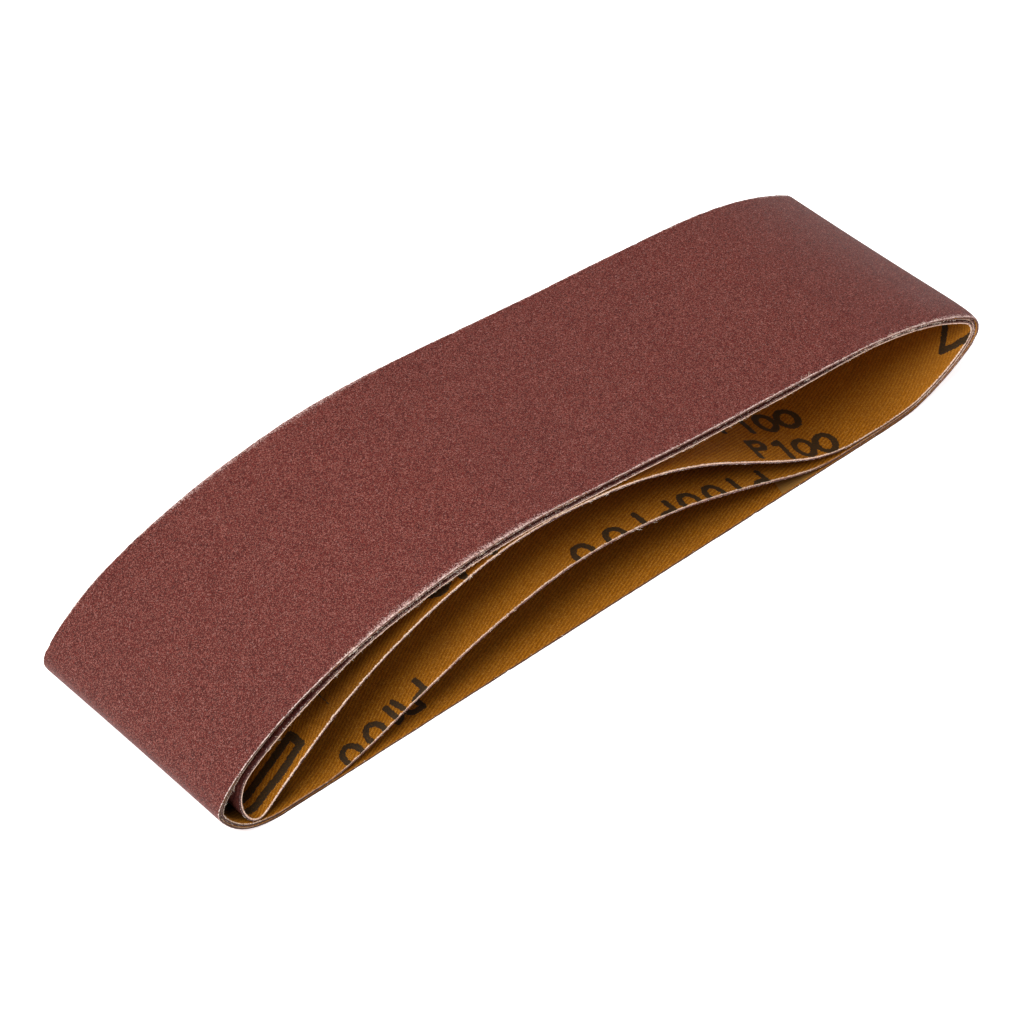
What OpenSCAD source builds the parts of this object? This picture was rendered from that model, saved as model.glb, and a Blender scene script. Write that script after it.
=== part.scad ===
// Three endless sanding belts of one size, lying flattened one inside another.
// X runs along the flattened loops, Y across the belt's width and Z up from the table.
// Every belt is a strip of coated cloth: grain outside, cloth inside, and its two ends
// butted at a slanting splice that a thin tape bridges on the cloth side.

/* [Belt] */
// Width of every belt
belt_w = 75; // [50:1:100]
// Length round the abrasive face of the outer belt
belt_l = 533; // [520:1:620]
// Thickness of the cloth backing
cloth_t = 0.4; // [0.3:0.05:0.5]
// Thickness of the abrasive coat
grain_t = 0.35; // [0.25:0.05:0.4]
// Clearance between two belts where they lie together
nest_gap = 0.2; // [0.15:0.05:0.3]

/* [Bottom strands] */
// Height of the middle belt's bow above the outer belt
middle_bow = 19.6; // [10:0.1:24]

/* [Splice] */
// Thickness of the splice tape, let in flush with the cloth
tape_t = 0.1; // [0.05:0.05:0.2]
// Width of the splice tape, along the belt
tape_w = 12; // [6:1:20]
// How far the splice leans along the belt from one rim to the other
splice_lean = 22; // [0:1:40]
// Width of the butted seam between the strip's two ends
seam_w = 0.2; // [0.1:0.05:0.4]

/* [Hidden] */

belt_t = cloth_t + grain_t;
pitch = belt_t + nest_gap;
grain_colour = "#7A4642";
cloth_colour = "#A06A2C";
tape_colour = "#C9B98F";
// Chords that stand for each span of an outline
span_steps = 5;
// Belt length that the outline points below are drawn for
drawn_l = 533;
// More than the height of the whole nest, for cutting through it
nest_h = 60;

// Outline of the outer belt's abrasive face as [x, z]: from the left end of its flat
// stretch, up round the left nose, along the top and round the right tip to the flat.
OUTER_POINTS = [
    [-110, 0], [-118.6, 2.5], [-124.2, 7.8], [-126.5, 13], [-123.2, 18.4], [-114, 26.4],
    [-98, 34.4], [-75, 41.2], [-48, 45], [-26, 45.1], [0, 42.5], [32, 38.7], [66, 35.6],
    [89, 33.1], [102, 30.4], [112, 27], [119, 23.7], [122.8, 21.6], [125.4, 19.6],
    [126.5, 17], [126.1, 14.4], [124, 11.8], [119.5, 8.6], [112.5, 4.7], [103, 1], [93, 0]
];
// The middle belt's bottom strand from right to left: [x, share of the bow's height]
MIDDLE_POINTS = [
    [72, 0.02], [64, 0.12], [45, 0.48], [22, 0.82], [-8, 1], [-38, 0.82], [-62, 0.49],
    [-80, 0.17], [-91, 0.015], [-99, 0]
];
// The inner belt's bottom strand from right to left: [x, share of the room between the
// belts below it and its own top strand], so 1 is where it presses against the top.
INNER_POINTS = [
    [80, 0.02], [70, 0.11], [60, 0.27], [48, 0.49], [30, 0.78], [10, 0.945], [-8, 0.995],
    [-21, 0.995], [-34, 0.975], [-50, 0.91], [-68, 0.815], [-85, 0.67], [-100, 0.435],
    [-110, 0.2]
];
// The inner belt's left fold as [x, z], from the bottom strand up to its free top
INNER_FOLD = [
    [-113.2, 3.9], [-115, 3.2], [-117.1, 4.1], [-119, 7], [-120, 12], [-118.4, 18.2],
    [-114, 22.4], [-105, 27.9], [-95, 32.6]
];
// Station along the top where the inner belt starts to lie against the middle one
inner_join_x = -84;

k = belt_l / drawn_l;

// Catmull-Rom curve with centripetal knots, so that uneven spacing makes no loops
function knot(a, b) = sqrt(norm(b - a));
function blend_points(a, b, ta, tb, t) = ((tb - t) * a + (t - ta) * b) / (tb - ta);
function span_point(p, t1, t2, t3, t) =
    let(
        a = blend_points(p[0], p[1], 0, t1, t),
        b = blend_points(p[1], p[2], t1, t2, t),
        c = blend_points(p[2], p[3], t2, t3, t),
        d = blend_points(a, b, 0, t2, t),
        e = blend_points(b, c, t1, t3, t)
    )
    blend_points(d, e, t1, t2, t);
function span(p) =
    let(
        t1 = knot(p[0], p[1]),
        t2 = t1 + knot(p[1], p[2]),
        t3 = t2 + knot(p[2], p[3])
    )
    [for (i = [0:span_steps - 1]) span_point(p, t1, t2, t3, t1 + (t2 - t1) * i / span_steps)];
// The curve runs from the second point to the last but one
function curve(points) = concat(
    [for (i = [0:len(points) - 4], q = span([for (j = [0:3]) points[i + j]])) q],
    [points[len(points) - 2]]
);

// Inward offset of a closed line that runs clockwise
function inward(line, depth) = [
    for (i = [0:len(line) - 1])
        let(
            a = line[(i + len(line) - 1) % len(line)],
            b = line[(i + 1) % len(line)],
            t = (b - a) / norm(b - a)
        )
        line[i] + depth * [t.y, -t.x]
];

function last_of(v) = v[len(v) - 1];
function without_ends(v) = [for (i = [1:len(v) - 2]) v[i]];

// The outline's two ends lead out along the table, so the flat stretch joins smoothly
flat_lead = [12, 0];
OUTER_DRAWN = [for (p = OUTER_POINTS) k * p];
OUTER_RUN = curve(concat(
    [OUTER_DRAWN[0] + flat_lead], OUTER_DRAWN, [last_of(OUTER_DRAWN) - flat_lead]
));
MID_X = (max([for (p = OUTER_RUN) p.x]) + min([for (p = OUTER_RUN) p.x])) / 2;
OUTER_LINE = [for (p = OUTER_RUN) p - [MID_X, 0]];

// The middle belt follows the outer belt's inside and bows up over its bottom strand
MIDDLE_RUN = inward(OUTER_LINE, pitch);
MIDDLE_BOW = [for (p = MIDDLE_POINTS) [k * p.x - MID_X, pitch + k * middle_bow * p.y]];
MIDDLE_LINE = concat(MIDDLE_RUN, without_ends(curve(concat(
    [last_of(MIDDLE_RUN) + flat_lead, last_of(MIDDLE_RUN)],
    MIDDLE_BOW,
    [MIDDLE_RUN[0], MIDDLE_RUN[0] - flat_lead]
))));

// The inner belt lies against the middle one from its join station to the right end
INNER_RUN = [for (p = inward(OUTER_LINE, 2 * pitch)) if (p.x > k * inner_join_x) p];
TOP_TABLE = [for (p = OUTER_LINE) if (p.y > k * 22) p];
function inner_z(x, share) = 2 * pitch + share * (lookup(x, TOP_TABLE) - 5 * pitch - belt_t);
INNER_BOW = [for (p = INNER_POINTS) let(x = k * p.x - MID_X) [x, inner_z(x, p.y)]];
INNER_NOSE = [for (p = INNER_FOLD) [k * p.x - MID_X, k * p.y]];
INNER_LINE = concat(INNER_RUN, without_ends(curve(concat(
    [last_of(INNER_RUN) + flat_lead, last_of(INNER_RUN)],
    INNER_BOW,
    INNER_NOSE,
    [INNER_RUN[0], INNER_RUN[1]]
))));

// Flat ring between two depths below a belt's abrasive face
module ring_section(line, depth_from, depth_to) {
    n = len(line);
    polygon(
        concat(inward(line, depth_from), inward(line, depth_to)),
        [[for (i = [0:n - 1]) i], [for (i = [n:2 * n - 1]) i]]
    );
}
module layer(line, depth_from, depth_to) {
    rotate([90, 0, 0])
        linear_extrude(belt_w, center = true)
            ring_section(line, depth_from, depth_to);
}
// Slanting band across the belt's width, cutting the strand between two heights
module splice_band(x, z_low, z_high, along) {
    lean = splice_lean / 2;
    over = 1;
    slope = lean / (belt_w / 2) * over;
    translate([0, 0, z_low])
        linear_extrude(z_high - z_low)
            polygon([
                [x - lean - slope - along / 2, -belt_w / 2 - over],
                [x - lean - slope + along / 2, -belt_w / 2 - over],
                [x + lean + slope + along / 2, belt_w / 2 + over],
                [x + lean + slope - along / 2, belt_w / 2 + over]
            ]);
}
// Tape let into the cloth side, where splice = [x, lowest z, highest z]
module splice_tape(line, splice) {
    color(tape_colour)
        intersection() {
            layer(line, belt_t - tape_t, belt_t);
            splice_band(splice[0], splice[1], splice[2], tape_w);
        }
}
module backing(line, splice) {
    color(cloth_colour)
        difference() {
            layer(line, grain_t, belt_t);
            splice_band(splice[0], splice[1], splice[2], seam_w);
            splice_tape(line, splice);
        }
}
module grain(line, splice) {
    color(grain_colour)
        difference() {
            layer(line, 0, grain_t);
            splice_band(splice[0], splice[1], splice[2], seam_w);
        }
}

// Each splice's station along X and the heights between which it cuts its own strand
outer_splice = [74, -1, 1.5];
middle_splice = [-40, 33, nest_h];
inner_splice = [64, 26, nest_h];

module outer_belt_backing() backing(OUTER_LINE, outer_splice);
module outer_belt_grain() grain(OUTER_LINE, outer_splice);
module outer_splice_tape() splice_tape(OUTER_LINE, outer_splice);
module middle_belt_backing() backing(MIDDLE_LINE, middle_splice);
module middle_belt_grain() grain(MIDDLE_LINE, middle_splice);
module middle_splice_tape() splice_tape(MIDDLE_LINE, middle_splice);
module inner_belt_backing() backing(INNER_LINE, inner_splice);
module inner_belt_grain() grain(INNER_LINE, inner_splice);
module inner_splice_tape() splice_tape(INNER_LINE, inner_splice);

outer_belt_backing();
outer_belt_grain();
outer_splice_tape();
middle_belt_backing();
middle_belt_grain();
middle_splice_tape();
inner_belt_backing();
inner_belt_grain();
inner_splice_tape();
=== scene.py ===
import math

import bpy
import numpy as np
from mathutils import Matrix, Vector


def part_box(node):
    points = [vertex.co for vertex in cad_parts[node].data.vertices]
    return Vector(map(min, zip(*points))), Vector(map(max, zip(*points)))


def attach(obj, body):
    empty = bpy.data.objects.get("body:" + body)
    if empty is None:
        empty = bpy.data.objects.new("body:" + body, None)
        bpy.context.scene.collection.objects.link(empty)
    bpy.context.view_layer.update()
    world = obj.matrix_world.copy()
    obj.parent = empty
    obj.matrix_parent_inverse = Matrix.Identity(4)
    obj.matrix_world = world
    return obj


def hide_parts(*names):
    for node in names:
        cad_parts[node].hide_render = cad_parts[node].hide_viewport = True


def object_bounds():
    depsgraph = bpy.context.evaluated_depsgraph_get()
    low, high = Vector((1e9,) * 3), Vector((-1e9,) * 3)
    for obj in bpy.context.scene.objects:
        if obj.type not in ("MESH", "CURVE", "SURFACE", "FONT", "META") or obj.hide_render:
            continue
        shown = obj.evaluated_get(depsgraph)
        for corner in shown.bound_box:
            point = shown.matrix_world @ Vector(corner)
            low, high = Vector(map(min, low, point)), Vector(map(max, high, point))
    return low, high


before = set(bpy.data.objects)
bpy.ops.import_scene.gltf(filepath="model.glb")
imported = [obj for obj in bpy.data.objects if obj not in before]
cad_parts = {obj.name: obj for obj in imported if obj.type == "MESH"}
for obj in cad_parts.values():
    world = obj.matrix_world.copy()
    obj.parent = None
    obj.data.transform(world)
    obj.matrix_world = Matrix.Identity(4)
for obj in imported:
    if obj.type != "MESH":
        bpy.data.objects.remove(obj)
cad_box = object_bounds()

# ---------------------------------------------------------------- sizes (m)
MM = 0.001
LOW, HIGH = cad_box
Y_NEAR, Y_FAR = LOW.y, HIGH.y
WIDTH = Y_FAR - Y_NEAR
BELTS = ("outer", "middle", "inner")
GRAIN_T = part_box("outer_belt_backing")[0].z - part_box("outer_belt_grain")[0].z
CLOTH_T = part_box("outer_splice_tape")[1].z - GRAIN_T
TAPE_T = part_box("outer_splice_tape")[1].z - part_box("outer_splice_tape")[0].z
# Widths of the splice tape and of the slit between a belt's butted ends
TAPE_W = 12 * MM
SEAM_GAP = 0.2 * MM
# Spacing of a belt's mesh along it, and at the rims across it
COLUMN_STEP = 0.42 * MM
ROW_STEP = 0.16 * MM


def smooth(x):
    x = np.clip(x, 0.0, 1.0)
    return x * x * (3 - 2 * x)


# ---------------------------------------------------------------- noise
class Wander:
    """Smooth seeded noise on a line: a sum of random values joined by smooth steps."""

    def __init__(self, seed, length, octaves):
        random = np.random.default_rng(seed)
        self.waves = [
            (step, size, random.uniform(-1, 1, int(length / step) + 3)) for step, size in octaves
        ]

    def __call__(self, s):
        s = np.asarray(s, float)
        total = np.zeros_like(s)
        for step, size, values in self.waves:
            at = np.clip(s / step, 0, len(values) - 1.001)
            low = at.astype(int)
            t = smooth(at - low)
            total += size * (values[low] * (1 - t) + values[low + 1] * t)
        return total


# ---------------------------------------------------------------- outlines
def end_loop(node):
    """The closed boundary of a CAD layer's flat end at the near rim, as (x, z) points."""
    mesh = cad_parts[node].data
    points = np.array([v.co for v in mesh.vertices]).reshape(-1, 3)
    keys, ids = {}, []
    for p in np.round(points / (0.5e-6)).astype(int):
        ids.append(keys.setdefault(tuple(p), len(keys)))
    place = {}
    for i, p in zip(ids, points):
        place[i] = p
    count = {}
    for polygon in mesh.polygons:
        corners = [ids[v] for v in polygon.vertices]
        if max(abs(place[c][1] - Y_NEAR) for c in corners) > 1e-6:
            continue
        for a, b in zip(corners, corners[1:] + corners[:1]):
            key = (min(a, b), max(a, b))
            count[key] = count.get(key, 0) + 1
    links = {}
    for (a, b), n in count.items():
        if n == 1:
            links.setdefault(a, []).append(b)
            links.setdefault(b, []).append(a)
    start = next(iter(links))
    chain, before, here = [start], None, start
    while True:
        onward = [n for n in links[here] if n != before]
        before, here = here, onward[0]
        if here == start:
            break
        chain.append(here)
    return np.array([[place[i][0], place[i][2]] for i in chain])


def abrasive_line(node):
    """The abrasive face's open line in the near rim, from one side of the splice to the other."""
    loop = end_loop(node)
    before, after = np.roll(loop, 1, 0) - loop, np.roll(loop, -1, 0) - loop
    cosine = (before * after).sum(1) / (
        np.linalg.norm(before, axis=1) * np.linalg.norm(after, axis=1)
    )
    corners = sorted(np.argsort(np.abs(np.degrees(np.arccos(np.clip(cosine, -1, 1))) - 90))[:4])
    chains = []
    for a, b in zip(corners, corners[1:] + [corners[0] + len(loop)]):
        chains.append(loop[np.arange(a, b + 1) % len(loop)])
    length = [np.linalg.norm(np.diff(c, axis=0), axis=1).sum() for c in chains]
    line = chains[int(np.argmax(length))]
    area = ((line[:-1, 0] * line[1:, 1]) - (line[1:, 0] * line[:-1, 1])).sum()
    return line if area < 0 else line[::-1]  # clockwise, from +X over the top


class Outline:
    """A belt's closed abrasive line in the near rim's plane, by the distance along it.

    Distances start at the point nearest to origin and run clockwise."""

    def __init__(self, line, origin):
        first = np.linalg.norm(line - np.array(origin) * MM, axis=1).argmin()
        line = np.roll(line, -first, 0)
        loop = np.vstack([line, line[:1]])
        step = np.linalg.norm(np.diff(loop, axis=0), axis=1)
        knots = np.concatenate([[0], np.cumsum(step)])
        self.length = knots[-1]
        fine = np.linspace(0, self.length, 6401)[:-1]
        path = np.stack([np.interp(fine, knots, loop[:, k]) for k in (0, 1)], 1)
        # a narrow bell rounds the CAD outline's short chords into one curve
        reach = np.arange(-24, 25)
        bell = np.exp(-0.5 * (reach / 8.0) ** 2)
        bell /= bell.sum()
        path = sum(w * np.roll(path, -k, 0) for k, w in zip(reach, bell))
        tangent = np.roll(path, -1, 0) - np.roll(path, 1, 0)
        tangent /= np.linalg.norm(tangent, axis=1)[:, None]
        self.fine, self.path, self.tangent = fine, path, tangent

    def at(self, s):
        """(point, inward normal) at distances s along the line."""
        s = np.mod(s, self.length)
        cycle = np.append(self.fine, self.length)

        def look(values):
            return np.stack(
                [np.interp(s, cycle, np.append(values[:, k], values[0, k])) for k in (0, 1)], -1
            )

        t = look(self.tangent)
        t /= np.linalg.norm(t, axis=-1)[..., None]
        return look(self.path), np.stack([t[..., 1], -t[..., 0]], -1)


def skewed(x, y, z):
    """The belts don't lie quite square: towards the far rim the top sinks and shifts."""
    t = (y - Y_NEAR) / WIDTH
    across = x / (130 * MM)
    lift = smooth((z - 3 * MM) / (20 * MM))
    side = np.where(
        x > 0, smooth((x - 90 * MM) / (32 * MM)), smooth((-x - 104 * MM) / (22 * MM))
    )
    free = 1 - (1 - lift) * (1 - side)
    dx = 0.82 * across + 1.02 * z / (25 * MM) + 0.16
    dz = -2.2 * z / (25 * MM) - 1.59 * across + 0.22 - 1.93 * across**2
    far_left = smooth((-x - 104 * MM) / (20 * MM)) * (1.3 * smooth((z - 4 * MM) / (10 * MM)) - 0.5)
    dx = t * (dx + t * far_left)
    dz = t * free * dz
    # the right tip stands out a little behind its near rim, and both ends are a little fuller
    tip = 1.35 * (1 - t) ** 2 * (0.15 + 0.85 * (1 - np.exp(-t / 0.05)))
    tip = tip * smooth((x - 96 * MM) / (20 * MM)) * smooth((z - 8 * MM) / (10 * MM))
    heel = (1 - t) ** 2 * smooth((x - 92 * MM) / (14 * MM)) * smooth((22 * MM - z) / (12 * MM))
    nose = (1 - t) ** 2 * smooth((-x - 110 * MM) / (14 * MM))
    dx = dx + 0.5 * tip + 0.5 * heel - 0.8 * nose
    dz = dz + 0.65 * tip - 0.5 * heel * smooth(z / (7 * MM))
    return x + dx * MM, y, np.maximum(z + dz * MM, 0.02 * MM)


# Where distances along each belt start, as (x, z) in mm on its abrasive line
ORIGINS = {"outer": (-110.0, 0.0), "middle": (-110.0, 0.95), "inner": (-79.4, 38.2)}
# Torn spots on the near rims, as distances in mm, and the fibres that stand in each
TUFT_FIBRES = 26
TUFTS = {
    "outer": (76.0, 118.0, 226.0, 251.0, 256.5, 262.0, 267.0, 272.5),
    "middle": (122.3, 128.5, 411.0, 416.0),
    "inner": (64.4, 342.0, 347.5, 352.0, 392.0, 414.0),
}
# How far each belt's near rim lies behind the outer one along the top: (x, recess) in mm
RECESS = {
    "outer": [(0, 0.0)],
    "middle": [(-70, 0.75), (-30, 1.5), (60, 1.8), (90, 1.6)],
    "inner": [(60, 0.05), (90, 1.10)],
}


class Belt:
    """One belt: its outline, its splice, and the way from distances on it to points."""

    def __init__(self, name):
        self.name = name
        self.body = name + "_belt"
        self.node = {k: f"{name}_belt_{k}" for k in ("backing", "grain")}
        self.tape = f"{name}_splice_tape"
        line = abrasive_line(self.node["grain"])
        self.outline = Outline(line, ORIGINS[name])
        # the splice slants across the width, as the tape's box says
        low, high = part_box(self.tape)
        self.lean = high.x - low.x - TAPE_W
        slit = np.linalg.norm(self.outline.path - (line[0] + line[-1]) / 2, axis=1).argmin()
        self.seam_near = self.outline.fine[slit]
        # where each distance along the inner face lies on the abrasive line
        inside = self.outline.path + (GRAIN_T + CLOTH_T) * np.stack(
            [self.outline.tangent[:, 1], -self.outline.tangent[:, 0]], 1
        )
        steps = np.linalg.norm(np.diff(inside, axis=0), axis=1)
        self.inside = np.concatenate([[0], np.cumsum(steps)])
        self.seam_side = -1 if (low.z + high.z) / 2 > 20 * MM else 1

    def seam(self, y):
        """Distance along the outline of the splice at y."""
        share = (y - Y_NEAR) / WIDTH
        return self.seam_near - self.seam_side * share * self.lean

    def place(self, s, y, depth):
        """Points of the belt as it lies: s along it, y across, depth under the abrasive face."""
        p, n = self.outline.at(s)
        flat = p + n * np.asarray(depth)[..., None]
        # the rims of the top strands aren't quite flush with one another
        at, recess = np.array(RECESS[self.name]).T * MM
        back = np.interp(flat[..., 0], at, recess) * smooth((flat[..., 1] - 8 * MM) / (22 * MM))
        shift = back * (1 - (y - Y_NEAR) / WIDTH)
        return np.stack(skewed(flat[..., 0], y + shift, flat[..., 1]), -1)


# ---------------------------------------------------------------- meshes
def new_object(name, vertices, faces, material, lay=None, shade=True):
    """A mesh object; lay is a point attribute that the materials read."""
    mesh = bpy.data.meshes.new(name)
    vertices = np.asarray(vertices, np.float32)
    mesh.vertices.add(len(vertices))
    mesh.vertices.foreach_set("co", vertices.ravel())
    faces = [np.asarray(f, np.int32) for f in faces if len(f)]
    total = sum(f.size for f in faces)
    mesh.loops.add(total)
    mesh.loops.foreach_set("vertex_index", np.concatenate([f.ravel() for f in faces]))
    count = sum(len(f) for f in faces)
    mesh.polygons.add(count)
    sizes = np.concatenate([np.full(len(f), f.shape[1], np.int32) for f in faces])
    starts = np.concatenate([[0], np.cumsum(sizes)[:-1]]).astype(np.int32)
    mesh.polygons.foreach_set("loop_start", starts)
    mesh.update(calc_edges=True)
    mesh.validate()
    if lay is not None:
        layer = mesh.attributes.new("lay", "FLOAT_VECTOR", "POINT")
        layer.data.foreach_set("vector", np.asarray(lay, np.float32).ravel())
    mesh.materials.append(material)
    obj = bpy.data.objects.new(name, mesh)
    bpy.context.scene.collection.objects.link(obj)
    if shade:
        mesh.polygons.foreach_set("use_smooth", np.ones(count, bool))
        mesh.set_sharp_from_angle(angle=math.radians(40))
    mesh.update()
    return obj


def grid_faces(columns, rows, closed_rows, flip=False):
    """Quads of a grid of points numbered column by column."""
    i, j = np.meshgrid(
        np.arange(columns - 1), np.arange(rows if closed_rows else rows - 1), indexing="ij"
    )
    i, j = i.ravel(), j.ravel()
    k = (j + 1) % rows
    quads = np.stack([i * rows + j, (i + 1) * rows + j, (i + 1) * rows + k, i * rows + k], 1)
    return quads[:, ::-1] if flip else quads


def end_caps(columns, rows):
    """The two ends of a swept strip, whose section is a ring of rows points."""
    first = np.arange(rows)
    last = (columns - 1) * rows + np.arange(rows)
    return [first[None, ::-1], last[None, :]]


def across_rows():
    """Distances across the width, close together at the rims."""
    steps = [0.0]
    gap = ROW_STEP
    while steps[-1] < WIDTH / 2 - 3.4 * MM:
        steps.append(steps[-1] + gap)
        gap = min(gap * 1.42, 4.2 * MM)
    half = np.array(steps)
    middle = np.linspace(half[-1], WIDTH - half[-1], 4)[1:-1]
    return np.concatenate([half, middle, (WIDTH - half)[::-1]])


ROWS = across_rows()


def layer_piece(belt, name, depth_top, depth_under, seen_top, material, edge):
    """One layer of a belt as a closed strip: the seen face has every row, the hidden one few.

    edge(s, side) says how far each rim is drawn back, for a torn or frayed line."""
    length = belt.outline.length
    columns = int(round(length / COLUMN_STEP))
    share = np.linspace(0, 1, columns)
    hidden = WIDTH * np.array([1, 0.75, 0.5, 0.25, 0])
    width = np.concatenate([ROWS, hidden])
    on_top = np.concatenate([np.ones(len(ROWS), bool), np.zeros(len(hidden), bool)])
    u, w = np.meshgrid(share, width, indexing="ij")
    top = np.broadcast_to(on_top, u.shape)
    y = Y_NEAR + w
    # columns slant with the splice beside it and run straight across elsewhere
    held = 1 - smooth(u / 0.12) + smooth((u - 0.88) / 0.12)
    s = belt.seam_near + (belt.seam(y) - belt.seam_near) * held
    s = s + SEAM_GAP / 2 + u * (length - SEAM_GAP)
    near, far = edge(s, 0), edge(s, 1)
    fade = 1.6 * MM
    y = y + near * smooth(1 - w / fade) - far * smooth(1 - (WIDTH - w) / fade)
    top_depth, under_depth = (depth_top, depth_under) if seen_top else (depth_under, depth_top)
    depth = np.where(top, top_depth, under_depth)
    # the cut edge of the seen face is a little rounded over
    rounding = 0.09 * MM * np.exp(-np.minimum(w, WIDTH - w) / (0.12 * MM))
    depth = depth + np.where(top, rounding if seen_top else -rounding, 0)
    points = belt.place(s, y, depth)
    share = (depth - depth_top) / (depth_under - depth_top)
    lay = np.stack([s, Y_NEAR + w, share * MM], -1)
    n = len(width)
    faces = [grid_faces(columns, n, True, flip=not seen_top), *end_caps(columns, n)]
    if not seen_top:
        faces[1:] = [f[:, ::-1] for f in faces[1:]]
    return new_object(name, points.reshape(-1, 3), faces, material, lay.reshape(-1, 3))


# ---------------------------------------------------------------- materials
class Nodes:
    """Short calls for building one material's node tree."""

    def __init__(self, name):
        self.material = bpy.data.materials.new(name)
        self.material.use_nodes = True
        self.tree = self.material.node_tree
        self.shader = self.tree.nodes["Principled BSDF"]
        self.object = self.add("ShaderNodeTexCoord").outputs["Object"]

    def add(self, kind, **inputs):
        node = self.tree.nodes.new(kind)
        for key, value in inputs.items():
            self.put(node.inputs[key.replace("_", " ")], value)
        return node

    def put(self, socket, value):
        if isinstance(value, bpy.types.NodeSocket):
            self.tree.links.new(value, socket)
        else:
            socket.default_value = value

    def math(self, operation, a, b=0.0, clamp=False):
        node = self.add("ShaderNodeMath")
        node.operation, node.use_clamp = operation, clamp
        for socket, value in zip(node.inputs, (a, b)):
            self.put(socket, value)
        return node.outputs[0]

    def lay(self):
        node = self.add("ShaderNodeAttribute")
        node.attribute_name = "lay"
        return node.outputs["Vector"]

    def scaled(self, vector, scale, turn=0.0):
        node = self.add("ShaderNodeMapping")
        node.inputs["Scale"].default_value = scale
        node.inputs["Rotation"].default_value = (0, 0, turn)
        self.put(node.inputs["Vector"], vector)
        return node.outputs[0]

    def noise(self, vector, scale, detail, roughness):
        node = self.add(
            "ShaderNodeTexNoise", Scale=scale, Detail=detail, Roughness=roughness, Vector=vector
        )
        return node.outputs["Fac"]

    def cells(self, vector, scale, output="Color", randomness=1.0):
        node = self.add("ShaderNodeTexVoronoi", Scale=scale, Randomness=randomness, Vector=vector)
        return node.outputs[output]

    def ramp(self, value, *stops):
        node = self.add("ShaderNodeValToRGB", Fac=value)
        ramp = node.color_ramp
        while len(ramp.elements) < len(stops):
            ramp.elements.new(0.5)
        for element, (at, colour) in zip(ramp.elements, stops):
            element.position = at
            element.color = (*colour, 1)
        return node.outputs["Color"]

    def grey(self, value, low, high, out_low=0.0, out_high=1.0, smoother=True):
        node = self.add("ShaderNodeMapRange")
        node.interpolation_type = "SMOOTHSTEP" if smoother else "LINEAR"
        for socket, v in zip(node.inputs, (value, low, high, out_low, out_high)):
            self.put(socket, v)
        return node.outputs[0]

    def mix(self, factor, a, b):
        node = self.add("ShaderNodeMix")
        node.data_type, node.clamp_factor = "RGBA", True
        self.put(node.inputs["Factor"], factor)
        # inputs 6 and 7 are the two colours, and output 2 is the mixed one
        self.put(node.inputs[6], a if isinstance(a, bpy.types.NodeSocket) else (*a, 1))
        self.put(node.inputs[7], b if isinstance(b, bpy.types.NodeSocket) else (*b, 1))
        return node.outputs[2]

    def bump(self, height, distance, strength):
        node = self.add("ShaderNodeBump", Height=height, Distance=distance, Strength=strength)
        return node.outputs[0]

    def from_rim(self, vector):
        """Distance from the nearer rim, in mm."""
        parts = self.add("ShaderNodeSeparateXYZ", Vector=vector)
        away = self.math("ABSOLUTE", parts.outputs["Y"])
        return self.math("MULTIPLY", self.math("SUBTRACT", WIDTH / 2, away), 1000.0)

    def finish(self, colour, roughness, normal=None, **constants):
        self.put(self.shader.inputs["Base Color"], colour)
        self.put(self.shader.inputs["Roughness"], roughness)
        if normal is not None:
            self.put(self.shader.inputs["Normal"], normal)
        for key, value in constants.items():
            self.shader.inputs[key.replace("_", " ")].default_value = value
        return self.material


def srgb(r, g, b):
    def linear(c):
        c /= 255.0
        return c / 12.92 if c <= 0.04045 else ((c + 0.055) / 1.055) ** 2.4

    return tuple(linear(c) for c in (r, g, b))


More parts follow.
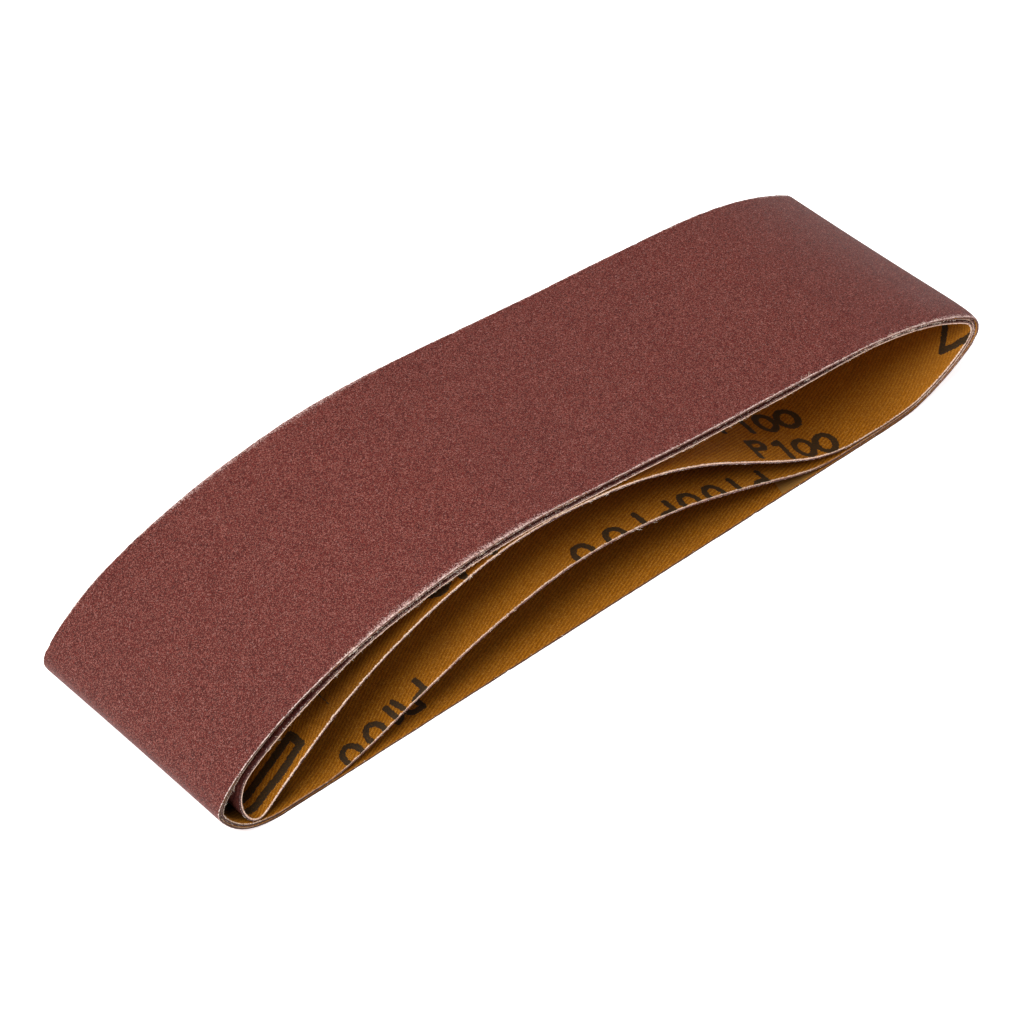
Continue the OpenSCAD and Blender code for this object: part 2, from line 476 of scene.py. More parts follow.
def grain_material(pale, cut_tone, nose_shade=0.0):
    """Red abrasive coat; pale says how far its cut corner is crushed to white dust.

    The last argument sets how much painted shade darkens the coat where it turns up inside the
    left nose."""
    m = Nodes("abrasive_grain")
    place = m.object
    rim = m.from_rim(m.lay())
    # single grains and clumps of grains in red resin
    fine = m.add("ShaderNodeSeparateColor", Color=m.cells(place, 1 / (0.17 * MM)))
    clump = m.add("ShaderNodeSeparateColor", Color=m.cells(place, 1 / (0.29 * MM)))
    fine_value, red = fine.outputs[0], fine.outputs[2]
    clump_value, spark = clump.outputs[1], clump.outputs[2]
    base = m.ramp(
        m.noise(place, 1 / (2.6 * MM), 5.0, 0.72),
        (0.30, srgb(86, 29, 24)), (0.50, srgb(90, 32, 26)), (0.70, srgb(94, 37, 31)),
    )
    wide = m.noise(place, 1 / (38 * MM), 3.0, 0.6)
    base = m.mix(m.grey(wide, 0.35, 0.7, 0.0, 0.45), base, srgb(100, 35, 27))
    colour = m.mix(m.grey(clump_value, 0.62, 1.0, 0.0, 0.34), base, srgb(122, 64, 56))
    colour = m.mix(m.grey(clump_value, 0.36, 0.0, 0.0, 0.34), colour, srgb(60, 18, 14))
    colour = m.mix(m.grey(fine_value, 0.55, 1.0, 0.0, 1.0), colour, srgb(160, 100, 90))
    colour = m.mix(m.grey(fine_value, 0.44, 0.0, 0.0, 1.0), colour, srgb(38, 10, 8))
    colour = m.mix(m.grey(red, 0.70, 1.0, 0.0, 0.60), colour, srgb(128, 32, 24))
    colour = m.mix(m.grey(spark, 0.975, 0.995, 0.0, 0.35), colour, srgb(176, 136, 130))
    colour = m.mix(m.grey(spark, 0.03, 0.012, 0.0, 0.55), colour, srgb(46, 18, 17))
    spot = m.add("ShaderNodeSeparateXYZ", Vector=place)
    along = spot.outputs["X"]
    # low down the rims are brown and clean
    low = m.grey(spot.outputs["Z"], 1.0 * MM, 6 * MM, 0.12, 1.0)
    # the coat is darker towards the left end
    colour = m.mix(m.grey(along, -40 * MM, -115 * MM, 0.0, 0.15), colour, srgb(52, 26, 22))
    # the coat is crushed pale along the cut rims
    broken = m.noise(place, 1 / (0.55 * MM), 4.0, 0.75)
    patch = m.noise(place, 1 / (16 * MM), 2.0, 0.5)
    centred = m.math("MULTIPLY", m.math("ADD", along, 52 * MM), 1 / (46 * MM))
    rubbed = m.grey(m.math("ABSOLUTE", centred), 1.0, 0.35, 0.0, 1.0)
    rubbed = m.math("MAXIMUM", rubbed, m.grey(along, 108 * MM, 121 * MM, 0.0, 0.8))
    reach = m.math("ADD", m.grey(patch, 0.38, 0.66, 0.30, 1.0), m.math("MULTIPLY", rubbed, 1.9))
    worn = m.math("DIVIDE", m.math("SUBTRACT", reach, rim), reach, clamp=True)
    worn = m.math("MULTIPLY", m.math("POWER", worn, 1.2), m.grey(broken, 0.34, 0.60), clamp=True)
    worn = m.math("MULTIPLY", worn, low)
    # grain by grain: each one is either rubbed white or still red
    picked = m.math("ADD", m.math("MULTIPLY", fine_value, 0.45), m.math("MULTIPLY", clump_value, 0.35))
    worn = m.grey(m.math("ADD", m.math("MULTIPLY", worn, 0.95), picked), 0.66, 1.08)
    colour = m.mix(m.math("MULTIPLY", worn, 0.74 * pale), colour, srgb(214, 180, 172))
    # where another belt's rim overhangs it the coat has painted shade
    overhang_shade = m.grey(rim, 1.6, 0.3, 0.0, 0.75 * (1 - pale))
    colour = m.mix(m.math("MULTIPLY", overhang_shade, low), colour, srgb(46, 20, 20))
    # and inside the left nose it has painted shade
    nose_shade_mask = m.math("MULTIPLY", m.grey(along, -100 * MM, -114 * MM), m.grey(rim, 0.4, 2.2, 0.5, 1.0))
    colour = m.mix(m.math("MULTIPLY", nose_shade_mask, nose_shade), colour, srgb(14, 6, 6))
    # the cut itself is dark, with pale dust along its outer corner
    depth = m.add("ShaderNodeSeparateXYZ", Vector=m.lay()).outputs["Z"]
    depth = m.math("MULTIPLY", depth, 1000.0)
    cut = m.grey(rim, 0.05, 0.01)
    cut_tone = m.mix(m.grey(broken, 0.40, 0.62), cut_tone, tuple(0.45 * c for c in cut_tone))
    cut_tone = m.mix(low, srgb(60, 33, 22), cut_tone)
    nose = m.grey(along, -84 * MM, -102 * MM)
    cut_tone = m.mix(m.math("MULTIPLY", nose, 0.8), cut_tone, srgb(46, 24, 18))
    colour = m.mix(m.math("MULTIPLY", cut, 0.95), colour, cut_tone)
    corner = m.math(
        "MULTIPLY",
        m.grey(m.math("ADD", rim, m.grey(broken, 0.35, 0.65, 0.14, -0.20)), 0.14, 0.0),
        m.grey(depth, 0.42, 0.10),
    )
    corner = m.math("MULTIPLY", m.math("MULTIPLY", corner, low), 0.95 * pale)
    colour = m.mix(corner, colour, srgb(240, 218, 208))
    height = m.math(
        "ADD",
        m.math("MULTIPLY", m.cells(place, 1 / (0.24 * MM), output="Distance"), -0.8),
        m.math("MULTIPLY", m.noise(place, 1 / (0.3 * MM), 2.0, 0.7), 0.6),
    )
    normal = m.bump(height, 0.11 * MM, 0.85)
    rough = m.grey(fine_value, 0.0, 1.0, 0.46, 0.78, smoother=False)
    return m.finish(colour, rough, normal, Specular_IOR_Level=0.2)


def cloth_material(pale, cut_dark, cut_light, dark_nose_cut_not_top_shade=1.0, nose_shade=0.0):
    """Brown cotton twill, seen from inside the belt; its cut shows raw cotton.

    The fourth argument sets how dark the cut is at the left nose, and where it is low the cloth gets
    painted shade under the left end's top instead; the last sets how much painted shade darkens the
    cloth deep inside the nose."""
    m = Nodes("backing_cloth")
    lay = m.lay()
    rim = m.from_rim(lay)
    # twill: diagonal ribs, broken into threads by the weft
    bent = m.add("ShaderNodeVectorMath")
    bent.operation = "ADD"
    m.put(bent.inputs[0], lay)
    drift = m.add("ShaderNodeVectorMath")
    drift.operation = "SCALE"
    shift = m.add("ShaderNodeTexNoise", Scale=1 / (1.5 * MM), Detail=2.0, Vector=lay)
    m.put(drift.inputs[0], shift.outputs["Color"])
    drift.inputs["Scale"].default_value = 0.30 * MM
    m.put(bent.inputs[1], drift.outputs[0])
    turned = m.scaled(bent.outputs[0], (1, 1, 1), math.radians(-67))

    def wave(vector, period, axis, distortion, detail_scale):
        node = m.add(
            "ShaderNodeTexWave", Vector=vector, Scale=2 * math.pi / (20 * period),
            Distortion=distortion, Detail=1.0, Detail_Scale=detail_scale,
        )
        node.wave_type, node.bands_direction, node.wave_profile = "BANDS", axis, "SIN"
        return node.outputs["Fac"]

    ribs = wave(turned, 0.93 * MM, "X", 0.9, 2.5)
    weft = wave(bent.outputs[0], 0.42 * MM, "Y", 0.6, 2.0)
    warp = wave(bent.outputs[0], 0.40 * MM, "X", 0.6, 2.0)
    thread = m.math("MULTIPLY", m.math("ADD", weft, warp), 0.5)
    slub = m.noise(m.scaled(lay, (1, 5, 1)), 1 / (5 * MM), 3.0, 0.6)
    slub_across = m.noise(m.scaled(lay, (6, 1, 1)), 1 / (4 * MM), 3.0, 0.6)
    soil = m.noise(lay, 1 / (14 * MM), 4.0, 0.6)
    fuzz = m.noise(m.object, 1 / (0.30 * MM), 3.0, 0.75)
    colour = m.ramp(
        m.math("ADD", m.math("MULTIPLY", ribs, 0.62), m.math("MULTIPLY", thread, 0.38)),
        (0.08, srgb(120, 69, 3)), (0.50, srgb(148, 89, 8)), (0.92, srgb(176, 111, 20)),
    )
    colour = m.mix(m.grey(slub, 0.40, 0.75, 0.0, 0.45), colour, srgb(140, 86, 20))
    colour = m.mix(m.grey(slub_across, 0.50, 0.80, 0.0, 0.35), colour, srgb(184, 124, 44))
    colour = m.mix(m.grey(soil, 0.45, 0.75, 0.0, 0.35), colour, srgb(132, 80, 18))
    colour = m.mix(m.grey(fuzz, 0.60, 0.78, 0.0, 0.30), colour, srgb(196, 142, 66))
    # single fibres: pale and dark specks
    speck = m.add("ShaderNodeSeparateColor", Color=m.cells(m.object, 1 / (0.20 * MM)))
    colour = m.mix(m.grey(speck.outputs[0], 0.70, 1.0, 0.0, 0.55), colour, srgb(206, 144, 62))
    colour = m.mix(m.grey(speck.outputs[1], 0.32, 0.0, 0.0, 0.50), colour, srgb(86, 44, 1))
    # the cloth is paler and smoother in the right tip, and has painted shade under the left end's top
    place = m.add("ShaderNodeSeparateXYZ", Vector=m.object)
    faded = m.grey(place.outputs["X"], 84 * MM, 120 * MM)
    left_top_shade = m.math("MULTIPLY", m.grey(place.outputs["X"], -44 * MM, -72 * MM),
                   m.grey(place.outputs["Z"], 14 * MM, 24 * MM, 0.0, 0.42 * (1 - dark_nose_cut_not_top_shade)))
    colour = m.mix(left_top_shade, colour, srgb(44, 18, 0))
    colour = m.mix(m.math("MULTIPLY", faded, 0.18), colour, srgb(206, 140, 52))
    # the dye stops at the cut: raw cotton shows in the rim and in the fray just inside it
    broken = m.noise(m.object, 1 / (0.45 * MM), 4.0, 0.8)
    depth = m.add("ShaderNodeSeparateXYZ", Vector=lay).outputs["Z"]
    depth = m.math("MULTIPLY", depth, 1000.0)
    cut = m.grey(rim, 0.05, 0.01)
    low = m.grey(place.outputs["Z"], 1.4 * MM, 6 * MM, 0.1, 1.0)
    edge_tone = m.mix(m.grey(broken, 0.38, 0.62), cut_dark, cut_light)
    edge_tone = m.mix(low, srgb(88, 56, 30), edge_tone)
    along = place.outputs["X"]
    # the cut is darker at the left nose
    nose = m.grey(along, -84 * MM, -102 * MM, 0.0, 0.8 * dark_nose_cut_not_top_shade)
    edge_tone = m.mix(nose, edge_tone, srgb(52, 30, 18))
    # painted shade deep inside the left nose
    nose_shade_mask = m.math("MULTIPLY", m.grey(along, -98 * MM, -110 * MM), m.grey(rim, 0.8, 3.4))
    colour = m.mix(m.math("MULTIPLY", nose_shade_mask, nose_shade), colour, srgb(12, 6, 2))
    colour = m.mix(m.math("MULTIPLY", cut, 0.95), colour, edge_tone)
    corner = m.math(
        "MULTIPLY",
        m.grey(m.math("ADD", rim, m.grey(broken, 0.35, 0.65, 0.16, -0.20)), 0.20, 0.0),
        m.grey(depth, 0.45, 0.85),
    )
    dust = m.grey(along, -112 * MM, -98 * MM, max(pale, 0.3), pale)
    dust = m.math("MULTIPLY", dust, m.grey(low, 0.10, 0.35, 0.25, 1.0))
    dust = m.math("MULTIPLY", dust, m.grey(broken, 0.30, 0.52, 0.35, 1.0))
    colour = m.mix(m.math("MULTIPLY", corner, dust), colour, srgb(242, 218, 196))
    height = m.math(
        "ADD",
        m.math("MULTIPLY", ribs, 0.65),
        m.math("ADD", m.math("MULTIPLY", thread, 0.35), m.math("MULTIPLY", fuzz, 0.5)),
    )
    normal = m.bump(height, 0.06 * MM, 0.9)
    rough = m.grey(fuzz, 0.3, 0.7, 0.72, 0.92, smoother=False)
    return m.finish(colour, rough, normal, Specular_IOR_Level=0.1)


def ink_material():
    m = Nodes("print_ink")
    lay = m.lay()
    cover = m.noise(lay, 1 / (0.42 * MM), 3.0, 0.7)
    colour = m.mix(m.grey(cover, 0.42, 0.72, 0.0, 0.75), srgb(42, 30, 13), srgb(96, 64, 20))
    return m.finish(colour, m.grey(cover, 0.3, 0.7, 0.55, 0.8), m.bump(cover, 0.02 * MM, 0.6),
                    Specular_IOR_Level=0.3)


def tape_material():
    m = Nodes("splice_film")
    lay = m.lay()
    streak = m.noise(m.scaled(lay, (1, 12, 1)), 1 / (6 * MM), 3.0, 0.6)
    mesh = m.cells(lay, 1 / (0.7 * MM), output="Distance", randomness=0.25)
    colour = m.mix(m.grey(streak, 0.35, 0.7), srgb(150, 108, 48), srgb(128, 84, 30))
    colour = m.mix(m.grey(mesh, 0.0, 0.7, 0.0, 0.25), colour, srgb(176, 140, 84))
    return m.finish(colour, m.grey(streak, 0.3, 0.7, 0.32, 0.5), m.bump(mesh, 0.03 * MM, 0.4),
                    Specular_IOR_Level=0.5)


def fibre_material():
    m = Nodes("raw_cotton")
    tone = m.noise(m.object, 1 / (0.8 * MM), 2.0, 0.6)
    colour = m.ramp(
        tone, (0.32, srgb(196, 150, 104)), (0.48, srgb(236, 216, 198)), (0.70, srgb(250, 240, 230))
    )
    return m.finish(colour, 0.85, Specular_IOR_Level=0.2, Sheen_Weight=0.2)


def chip_material():
    m = Nodes("loose_grain")
    tone = m.noise(m.object, 1 / (0.5 * MM), 2.0, 0.6)
    colour = m.ramp(
        tone, (0.34, srgb(150, 88, 82)), (0.50, srgb(204, 166, 158)), (0.66, srgb(238, 220, 214))
    )
    return m.finish(colour, m.grey(tone, 0.3, 0.7, 0.4, 0.7), Specular_IOR_Level=0.4)


GRAIN = {
    "outer": grain_material(1.0, srgb(138, 98, 90)),
    "middle": grain_material(0.3, srgb(96, 58, 54)),
    "inner": grain_material(0.1, srgb(76, 42, 40), nose_shade=0.3),
}
CLOTH = {
    # the outer belt's cut is painted dark, as painted shade for the gap behind its rim
    "outer": cloth_material(0.1, srgb(44, 24, 20), srgb(98, 64, 56)),
    "middle": cloth_material(0.9, srgb(104, 70, 60), srgb(172, 132, 116), nose_shade=0.55),
    "inner": cloth_material(1.0, srgb(150, 112, 98), srgb(226, 192, 172), dark_nose_cut_not_top_shade=0.0),
}
INK, TAPE, FIBRE, CHIP = ink_material(), tape_material(), fibre_material(), chip_material()


# ---------------------------------------------------------------- rims and tape
def ragged(seed, length, size):
    """How far a rim is drawn back at s: small waves and some chips broken out."""
    waves = [
        Wander(seed + k, length, ((7 * MM, 0.05 * MM), (1.9 * MM, 0.04 * MM), (0.8 * MM, 0.025 * MM)))
        for k in (0, 1)
    ]
    chips = [Wander(seed + 10 + k, length, ((1.1 * MM, 1.0), (3.1 * MM, 0.7))) for k in (0, 1)]

    def edge(s, side):
        s = np.mod(s, length)
        chip = np.clip(chips[side](s) - 1.05, 0, 1) * 0.6 * MM
        return np.clip(0.08 * MM + size * waves[side](s) + size * chip, 0, None)

    return edge


def tube_bunch(name, paths, radii, material):
    """Many thin tapered tubes in one mesh. paths is (n, k, 3); radii is (n,)."""
    n, k, _ = paths.shape
    sides = 3
    along = np.gradient(paths, axis=1)
    along /= np.linalg.norm(along, axis=2)[..., None] + 1e-12
    helper = np.where(np.abs(along[..., 2:3]) > 0.8, [[[1.0, 0, 0]]], [[[0, 0, 1.0]]])
    a = np.cross(along, helper)
    a /= np.linalg.norm(a, axis=2)[..., None] + 1e-12
    b = np.cross(along, a)
    taper = np.linspace(1, 0.45, k)[None, :, None, None]
    turn = 2 * math.pi * np.arange(sides) / sides
    ring = a[:, :, None] * np.cos(turn)[:, None] + b[:, :, None] * np.sin(turn)[:, None]
    points = paths[:, :, None] + ring * radii[:, None, None, None] * taper
    base = (np.arange(n) * k * sides)[:, None, None]
    i, j = np.arange(k - 1)[None, :, None], np.arange(sides)[None, None, :]
    j2 = (j + 1) % sides
    quads = np.stack(
        [base + i * sides + j, base + i * sides + j2, base + (i + 1) * sides + j2,
         base + (i + 1) * sides + j], -1,
    ).reshape(-1, 4)
    start = (base[:, 0] + np.arange(sides)[None, ::-1]).reshape(-1, sides)
    finish = (base[:, 0] + (k - 1) * sides + np.arange(sides)[None, :]).reshape(-1, sides)
    return new_object(name, points.reshape(-1, 3), [quads, start, finish], material)


def kept_share(belt, s):
    """How much fray and grit a rim keeps at s: less low down and at the two outer belts' noses."""
    place = belt.outline.at(s)[0]
    share = smooth(place[:, 1] / (12 * MM))
    if belt.name != "inner":
        share *= 1 - 0.75 * smooth((-place[:, 0] - 86 * MM) / (14 * MM))
    return share


def fray(belt, seed):
    """Short cotton fibres on both rims: out of the cut, over the abrasive and off the inner corner."""
    random = np.random.default_rng(seed)
    length = belt.outline.length
    total = GRAIN_T + CLOTH_T
    clump = Wander(seed + 1, length, ((9 * MM, 0.8), (2.3 * MM, 0.7)))
    s = random.uniform(0, length, 9000)
    middle = belt.outline.at(s)[0]
    rubbed = smooth(1.5 - np.abs(middle[:, 0] + 52 * MM) / (46 * MM)) * (middle[:, 1] > 20 * MM)
    s = s[random.uniform(-0.6, 2.4, len(s)) < clump(s) + 1.1 * rubbed]
    s = s[random.uniform(0.0, 1.0, len(s)) < 0.12 + 0.88 * kept_share(belt, s)]
    tufts = [at * MM + random.normal(0, 0.9 * MM, TUFT_FIBRES) for at in TUFTS[belt.name]]
    torn = np.concatenate([np.zeros(len(s)), np.ones(TUFT_FIBRES * len(tufts))])
    s = np.concatenate([s, *tufts])
    n = len(s)
    side = np.where(torn > 0, 0, random.integers(0, 2, n))
    kind = random.choice(3, n, p=(0.40, 0.30, 0.30))
    out = np.where(side == 0, -1.0, 1.0)
    long = 0.16 * MM + random.exponential(0.20 * MM, n) * (1 + 1.2 * torn)
    long = np.minimum(long, (0.9 + 0.7 * torn) * MM)
    lean, curl = random.normal(0, 0.55, n), random.normal(0, 0.5, n)
    steps = np.linspace(0, 1, 5)
    sk = s[:, None] + long[:, None] * (lean[:, None] * steps + curl[:, None] * steps**2)
    rim = np.where(side == 0, Y_NEAR + 0.10 * MM, Y_FAR - 0.10 * MM)
    # kind 0 stands out of the cut, 1 lies back over the abrasive, 2 hangs off the inner corner
    run = np.choose(kind, (0.75, -0.95, 0.15))
    yk = rim[:, None] + (out * run * long)[:, None] * steps
    start = np.choose(kind, (GRAIN_T + random.uniform(0, 1, n) * CLOTH_T, 0.02 * MM, total - 0.03 * MM))
    rise = np.choose(kind, (random.normal(0, 0.35, n), -0.22, 0.25))
    dk = start[:, None] + (rise * long)[:, None] * np.sqrt(steps)
    free = (0.40 if belt.name == "inner" else 0.13) * MM
    dk = np.clip(dk, -0.07 * MM, total + free)
    radii = random.uniform(0.024, 0.058, n) * MM
    return tube_bunch(f"{belt.name}_rim_fray", belt.place(sk, yk, dk), radii, FIBRE)


def chips(belt, seed):
    """Broken grains that cling to the cut edge of the coat."""
    random = np.random.default_rng(seed)
    n = 2600
    s = random.uniform(0, belt.outline.length, n)
    s = s[random.uniform(0.0, 1.0, n) < 0.10 + 0.90 * kept_share(belt, s)]
    n = len(s)
    side = random.integers(0, 2, n)
    inwards = random.exponential(0.10 * MM, n)
    y = np.where(side == 0, Y_NEAR + 0.04 * MM + inwards, Y_FAR - 0.04 * MM - inwards)
    on_face = inwards > 0.07 * MM
    depth = np.where(on_face, 0.02 * MM, random.uniform(0.03, 0.95, n) * GRAIN_T)
    size = random.uniform(0.05, 0.13, n) * MM
    centre = belt.place(s, y, depth)
    corner = np.array([[1, 0, 0], [-1, 0, 0], [0, 1, 0], [0, -1, 0], [0, 0, 1], [0, 0, -1]], float)
    shape = corner[None] * random.uniform(0.55, 1.25, (n, 6, 1))
    turn = random.normal(size=(n, 3, 3))
    turn, _ = np.linalg.qr(turn)
    turn *= np.sign(np.linalg.det(turn))[:, None, None]
    points = centre[:, None] + np.einsum("nij,nkj->nki", turn, shape) * size[:, None, None]
    faces = np.array(
        [[0, 2, 4], [2, 1, 4], [1, 3, 4], [3, 0, 4], [2, 0, 5], [1, 2, 5], [3, 1, 5], [0, 3, 5]]
    )
    faces = (faces[None] + 6 * np.arange(n)[:, None, None]).reshape(-1, 3)
    return new_object(f"{belt.name}_rim_chips", points.reshape(-1, 3), [faces], CHIP, shade=False)


def tape_piece(belt):
    """The thin film set flush into the cloth's inner face across the splice."""
    columns, rows = 33, 26
    share = np.linspace(-0.5, 0.5, columns) * TAPE_W
    inset = 0.3 * MM
    width = np.concatenate(
        [np.linspace(inset, WIDTH - inset, rows), np.linspace(WIDTH - inset, inset, rows)]
    )
    face = np.concatenate([np.ones(rows, bool), np.zeros(rows, bool)])
    u, w = np.meshgrid(share, width, indexing="ij")
    y = Y_NEAR + w
    s = belt.seam(y) + u
    total = GRAIN_T + CLOTH_T
    depth = np.where(np.broadcast_to(face, u.shape), total + 0.035 * MM, total - TAPE_T)
    points = belt.place(s, y, depth)
    caps = end_caps(columns, 2 * rows)
    faces = [grid_faces(columns, 2 * rows, True, flip=True), *(f[:, ::-1] for f in caps)]
    lay = np.stack([s, y, np.zeros_like(s)], -1)
    return new_object(
        f"{belt.name}_splice_film", points.reshape(-1, 3), faces, TAPE, lay.reshape(-1, 3)
    )


# ---------------------------------------------------------------- prints
def patchy(random, low, high, cell):
    """Smooth seeded noise over a box of the (along, across) plane, from -1 to 1."""
    size = np.ceil((high - low) / cell).astype(int) + 3
    values = random.uniform(-1, 1, tuple(size))

    def look(a, b):
        x, y = (a - low[0]) / cell, (b - low[1]) / cell
        i = np.clip(x.astype(int), 0, size[0] - 2)
        j = np.clip(y.astype(int), 0, size[1] - 2)
        u, v = smooth(x - i), smooth(y - j)
        near = values[i, j] * (1 - u) + values[i + 1, j] * u
        far = values[i, j + 1] * (1 - u) + values[i + 1, j + 1] * u
        return near * (1 - v) + far * v

    return look


def arc(x, y, rx, ry, start, end, steps):
    turn = np.radians(np.linspace(start, end, steps))
    return [(x + rx * math.cos(a), y + ry * math.sin(a)) for a in turn]


# strokes in shares of the letter's height, x from its left side
GLYPHS = {
    "P": [[(0.1, 0), (0.1, 0.91), (0.36, 0.91), *arc(0.36, 0.69, 0.21, 0.22, 90, -90, 8), (0.1, 0.47)]],
    "1": [[(0.1, 0.78), (0.3, 0.92), (0.3, 0)]],
    "0": [arc(0.3, 0.5, 0.26, 0.41, 0, 360, 22)],
}


def letters(row, height, wide, upright=True, lean=0.0):
    """Strokes of (glyph, s, y) rows in mm: s is the middle of the glyph and y its foot."""
    strokes = []
    flip = 1 if upright else -1
    for glyph, s, y in row:
        for line in GLYPHS[glyph]:
            line = np.array(line)
            x, up = (line[:, 0] - 0.3) * height * wide, line[:, 1] * height
            strokes.append(np.stack([s - flip * (x - lean * up), y + flip * up], 1))
    return strokes


def ink_film(belt, name, strokes, width, seed):
    """A thin film of ink on the cloth's seen face: the cells of a fine mesh that strokes cover.

    Lengths are in mm until the film is placed; broken is how far its outline wanders."""
    random = np.random.default_rng(seed)
    broken = 0.22
    every = np.vstack(strokes)
    cell, pad, margin = 0.16, width, 0.12
    low, high = every.min(0) - pad, every.max(0) + pad
    low[1] = max(low[1], margin)
    soft, rough = patchy(random, low, high, 0.55), patchy(random, low, high, 0.22)

    def field(a, b):
        away = np.full(a.shape, 1e9)
        for line in strokes:
            for p, q in zip(line[:-1], line[1:]):
                d = q - p
                t = np.clip(((a - p[0]) * d[0] + (b - p[1]) * d[1]) / max(d @ d, 1e-9), 0, 1)
                away = np.minimum(away, np.hypot(a - p[0] - t * d[0], b - p[1] - t * d[1]))
        return away - width / 2 + broken * (0.7 * soft(a, b) + 0.5 * rough(a, b))

    na, nb = (np.ceil((high - low) / cell).astype(int) + 1).tolist()
    a, b = np.meshgrid(low[0] + cell * np.arange(na), low[1] + cell * np.arange(nb), indexing="ij")
    inside = field(a + cell / 2, b + cell / 2)[:-1, :-1] < 0
    padded = np.zeros((na + 1, nb + 1), bool)
    padded[1:-1, 1:-1] = inside
    around = padded[:-1, :-1].astype(int) + padded[1:, :-1] + padded[:-1, 1:] + padded[1:, 1:]
    value, step = field(a, b), 0.05
    ga = (field(a + step, b) - field(a - step, b)) / (2 * step)
    gb = (field(a, b + step) - field(a, b - step)) / (2 * step)
    size = np.maximum(np.hypot(ga, gb), 0.3)
    move = np.where((around > 0) & (around < 4), np.clip(-value / size, -0.45, 0.45) * cell, 0)
    a, b = a + move * ga / size, np.maximum(b + move * gb / size, margin)
    index = np.arange(na * nb).reshape(na, nb)
    i, j = np.nonzero(inside)
    top = np.stack([index[i, j], index[i, j + 1], index[i + 1, j + 1], index[i + 1, j]], 1)
    walls = []
    for di, dj, corners in (
        (-1, 0, ((0, 0), (0, 1))), (1, 0, ((1, 1), (1, 0))),
        (0, -1, ((1, 0), (0, 0))), (0, 1, ((0, 1), (1, 1))),
    ):
        edge = ~padded[i + 1 + di, j + 1 + dj]
        p, q = (index[i[edge] + c[0], j[edge] + c[1]] for c in corners)
        walls.append(np.stack([q, p, p + na * nb, q + na * nb], 1))
    faces = np.vstack([top, top[:, ::-1] + na * nb, *walls])
    total = GRAIN_T + CLOTH_T
    s, y = np.interp(a.ravel() * MM, belt.inside, belt.outline.fine), Y_NEAR + b.ravel() * MM
    points = np.vstack(
        [belt.place(s, y, np.full(s.shape, total + d * MM)) for d in (0.03, -0.02)]
    )
    lay = np.tile(np.stack([s, y, 0 * s], 1), (2, 1))
    used, faces = np.unique(faces, return_inverse=True)
    return new_object(
        f"{belt.name}_{name}", points[used], [faces.reshape(-1, 4)], INK, lay[used], shade=False
    )


belts = {name: Belt(name) for name in BELTS}

# ---------------------------------------------------------------- floor
floor_mat = Nodes("floor_paper")
floor_tone = floor_mat.noise(floor_mat.object, 3.0, 2.0, 0.5)
floor_colour = floor_mat.mix(floor_tone, (0.93, 0.93, 0.93), (0.95, 0.95, 0.95))
floor_mat.finish(floor_colour, 0.9, Specular_IOR_Level=0.1)
floor_mat.shader.inputs["Emission Color"].default_value = (1, 1, 1, 1)
floor_mat.shader.inputs["Emission Strength"].default_value = 0.75
side = np.linspace(-2.0, 2.0, 9)
fx, fy = np.meshgrid(side, side, indexing="ij")
floor = new_object(
    "floor", np.stack([fx, fy, np.full_like(fx, -0.05 * MM)], -1).reshape(-1, 3),
    [grid_faces(9, 9, False)], floor_mat.material, shade=False,
)

# ---------------------------------------------------------------- pieces
# Prints as (name, strokes in mm along and across, stroke width in mm)
PRINTS = {
    "inner": [
        ("grade_near", letters(
            [("P", 284.2, 2.3), ("1", 275.2, 1.3), ("0", 268.4, 0.5), ("0", 261.2, -0.1)],
            8.5, 1.3, lean=-0.24,
        ), 1.9),
        ("grade_far", letters(
            [("P", 285.6, 15.6), ("1", 277.3, 14.8), ("0", 269.8, 13.8), ("0", 262.3, 13.3)],
            8.7, 1.3, lean=-0.14,
        ), 1.95),
        ("grade_mid", letters(
            [("0", 396.4, 1.3), ("P", 387.6, 1.2), ("1", 380.0, 1.2), ("0", 371.0, 1.2)],
            8.6, 1.45,
        ), 2.0),
        ("arrow_head", [np.array(
            [(204.0, 13.4), (217.2, 4.7), (204.0, -3.8), (204.0, 13.4)]
        )], 1.8),
        ("arrow_shaft", [np.array(
            [(475.0, 7.4), (469.5, 7.9), (466.0, 7.6), (458.0, 7.4), (448.6, 7.4),
             (448.4, 3.2), (458.0, 2.9), (464.8, 3.5), (469.0, 3.7), (475.0, 2.2)]
        )], 2.3),
        ("tick", [np.array([(436.4, 3.9), (436.2, 8.2)])], 0.24),
    ],
    "middle": [
        ("grade_left", [*letters(
            [("P", 479.6, 4.4), ("1", 487.9, 4.7), ("0", 494.3, 5.3), ("0", 502.3, 5.4)],
            8.3, 1.1, upright=False,
        ), np.array([(485.6, 4.6), (485.0, 0.9)])], 1.65),
        ("grade_right", letters(
            [("P", 362.6, 4.9), ("1", 370.8, 4.9), ("0", 378.6, 5.2), ("0", 387.0, 5.2),
             ("P", 394.8, 4.4), ("1", 402.9, 4.7), ("0", 412.1, 4.6), ("0", 422.4, 5.0)],
            8.3, 1.15, upright=False,
        ), 1.7),
    ],
    "outer": [
        ("grade", letters(
            [("P", 479.8, 12.3), ("1", 486.0, 12.3), ("0", 494.0, 12.3), ("0", 502.0, 12.3)],
            8.3, 1.1, upright=False,
        ), 1.8),
    ],
}
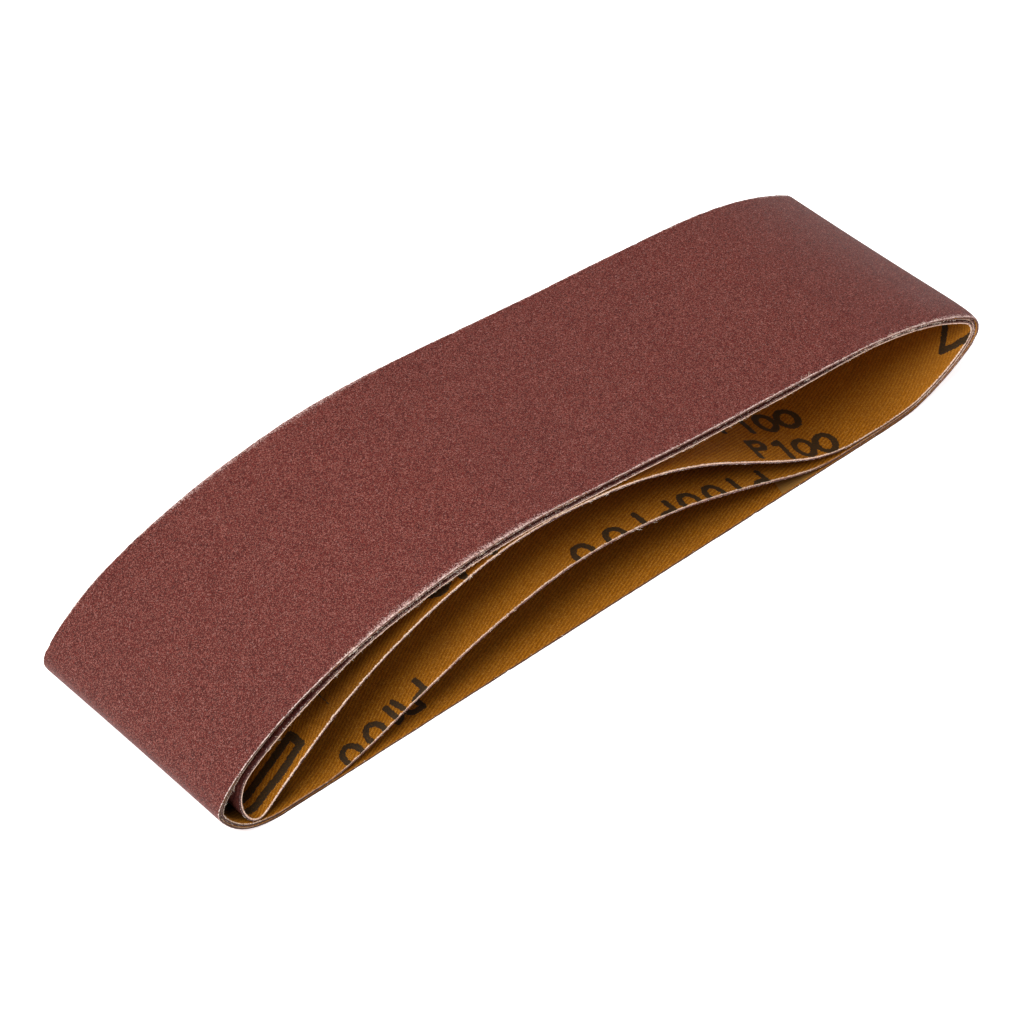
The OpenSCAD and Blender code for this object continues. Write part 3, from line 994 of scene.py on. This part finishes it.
for index, belt in enumerate(belts.values()):
    length = belt.outline.length
    total = GRAIN_T + CLOTH_T
    coat = layer_piece(
        belt, f"{belt.name}_coat", 0.0, GRAIN_T - 0.01 * MM, True, GRAIN[belt.name],
        ragged(100 + 40 * index, length, 1.0),
    )
    cloth = layer_piece(
        belt, f"{belt.name}_cloth", GRAIN_T, total, False, CLOTH[belt.name],
        ragged(120 + 40 * index, length, 0.7),
    )
    film = tape_piece(belt)
    fibres = fray(belt, 300 + index)
    grit = chips(belt, 400 + index)
    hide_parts(belt.node["grain"])
    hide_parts(belt.node["backing"])
    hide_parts(belt.tape)
    prints = [
        ink_film(belt, name, strokes, width, 500 + 10 * index + k)
        for k, (name, strokes, width) in enumerate(PRINTS[belt.name])
    ]
    for piece in (coat, cloth, film, fibres, grit, *prints):
        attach(piece, belt.body)

# ---------------------------------------------------------------- light and camera
world = bpy.data.worlds.new("studio")
bpy.context.scene.world = world
world.use_nodes = True
world.node_tree.nodes["Background"].inputs["Color"].default_value = (1, 1, 1, 1)
world.node_tree.nodes["Background"].inputs["Strength"].default_value = 0.21


def area_light(name, place, target, size, power):
    data = bpy.data.lights.new(name, "AREA")
    data.shape, data.size, data.energy = "DISK", size, power
    light = bpy.data.objects.new(name, data)
    bpy.context.scene.collection.objects.link(light)
    light.location = place
    light.rotation_euler = (Vector(target) - Vector(place)).to_track_quat("-Z", "Y").to_euler()


area_light("key", (-0.75, -0.35, 1.35), (0, 0, 0.02), 0.9, 26)
area_light("fill", (0.5, -1.1, 1.1), (0, 0, 0.02), 0.8, 3)
area_light("top", (0.1, 0.5, 1.3), (0, 0, 0.02), 1.0, 3)

# The camera that fits the photograph's rims: its direction, its aim and its distance in mm
AZIMUTH, ELEVATION, ROLL = (math.radians(v) for v in (-36.0946, 43.3979, -5.2941))
AIM = Vector((-30.1925, -37.5, 52.0587)) * MM
DISTANCE = 1455.0848
SENSOR, LENS = 36.0, 206.832
back = Vector(
    (math.sin(AZIMUTH) * math.cos(ELEVATION), -math.cos(AZIMUTH) * math.cos(ELEVATION),
     math.sin(ELEVATION))
)
right = Vector((0, 0, 1)).cross(back).normalized()
up = back.cross(right)
c, s = math.cos(ROLL), math.sin(ROLL)
right, up = c * right + s * up, -s * right + c * up
camera_data = bpy.data.cameras.new("camera")
camera_data.sensor_width = SENSOR
camera_data.lens = LENS
camera_data.clip_start, camera_data.clip_end = 0.05, 20.0
camera = bpy.data.objects.new("camera", camera_data)
bpy.context.scene.collection.objects.link(camera)
matrix = Matrix((right, up, back)).transposed().to_4x4()
matrix.translation = AIM + back * DISTANCE * MM
camera.matrix_world = matrix
bpy.context.scene.camera = camera
bpy.context.scene.view_settings.view_transform = "Standard"
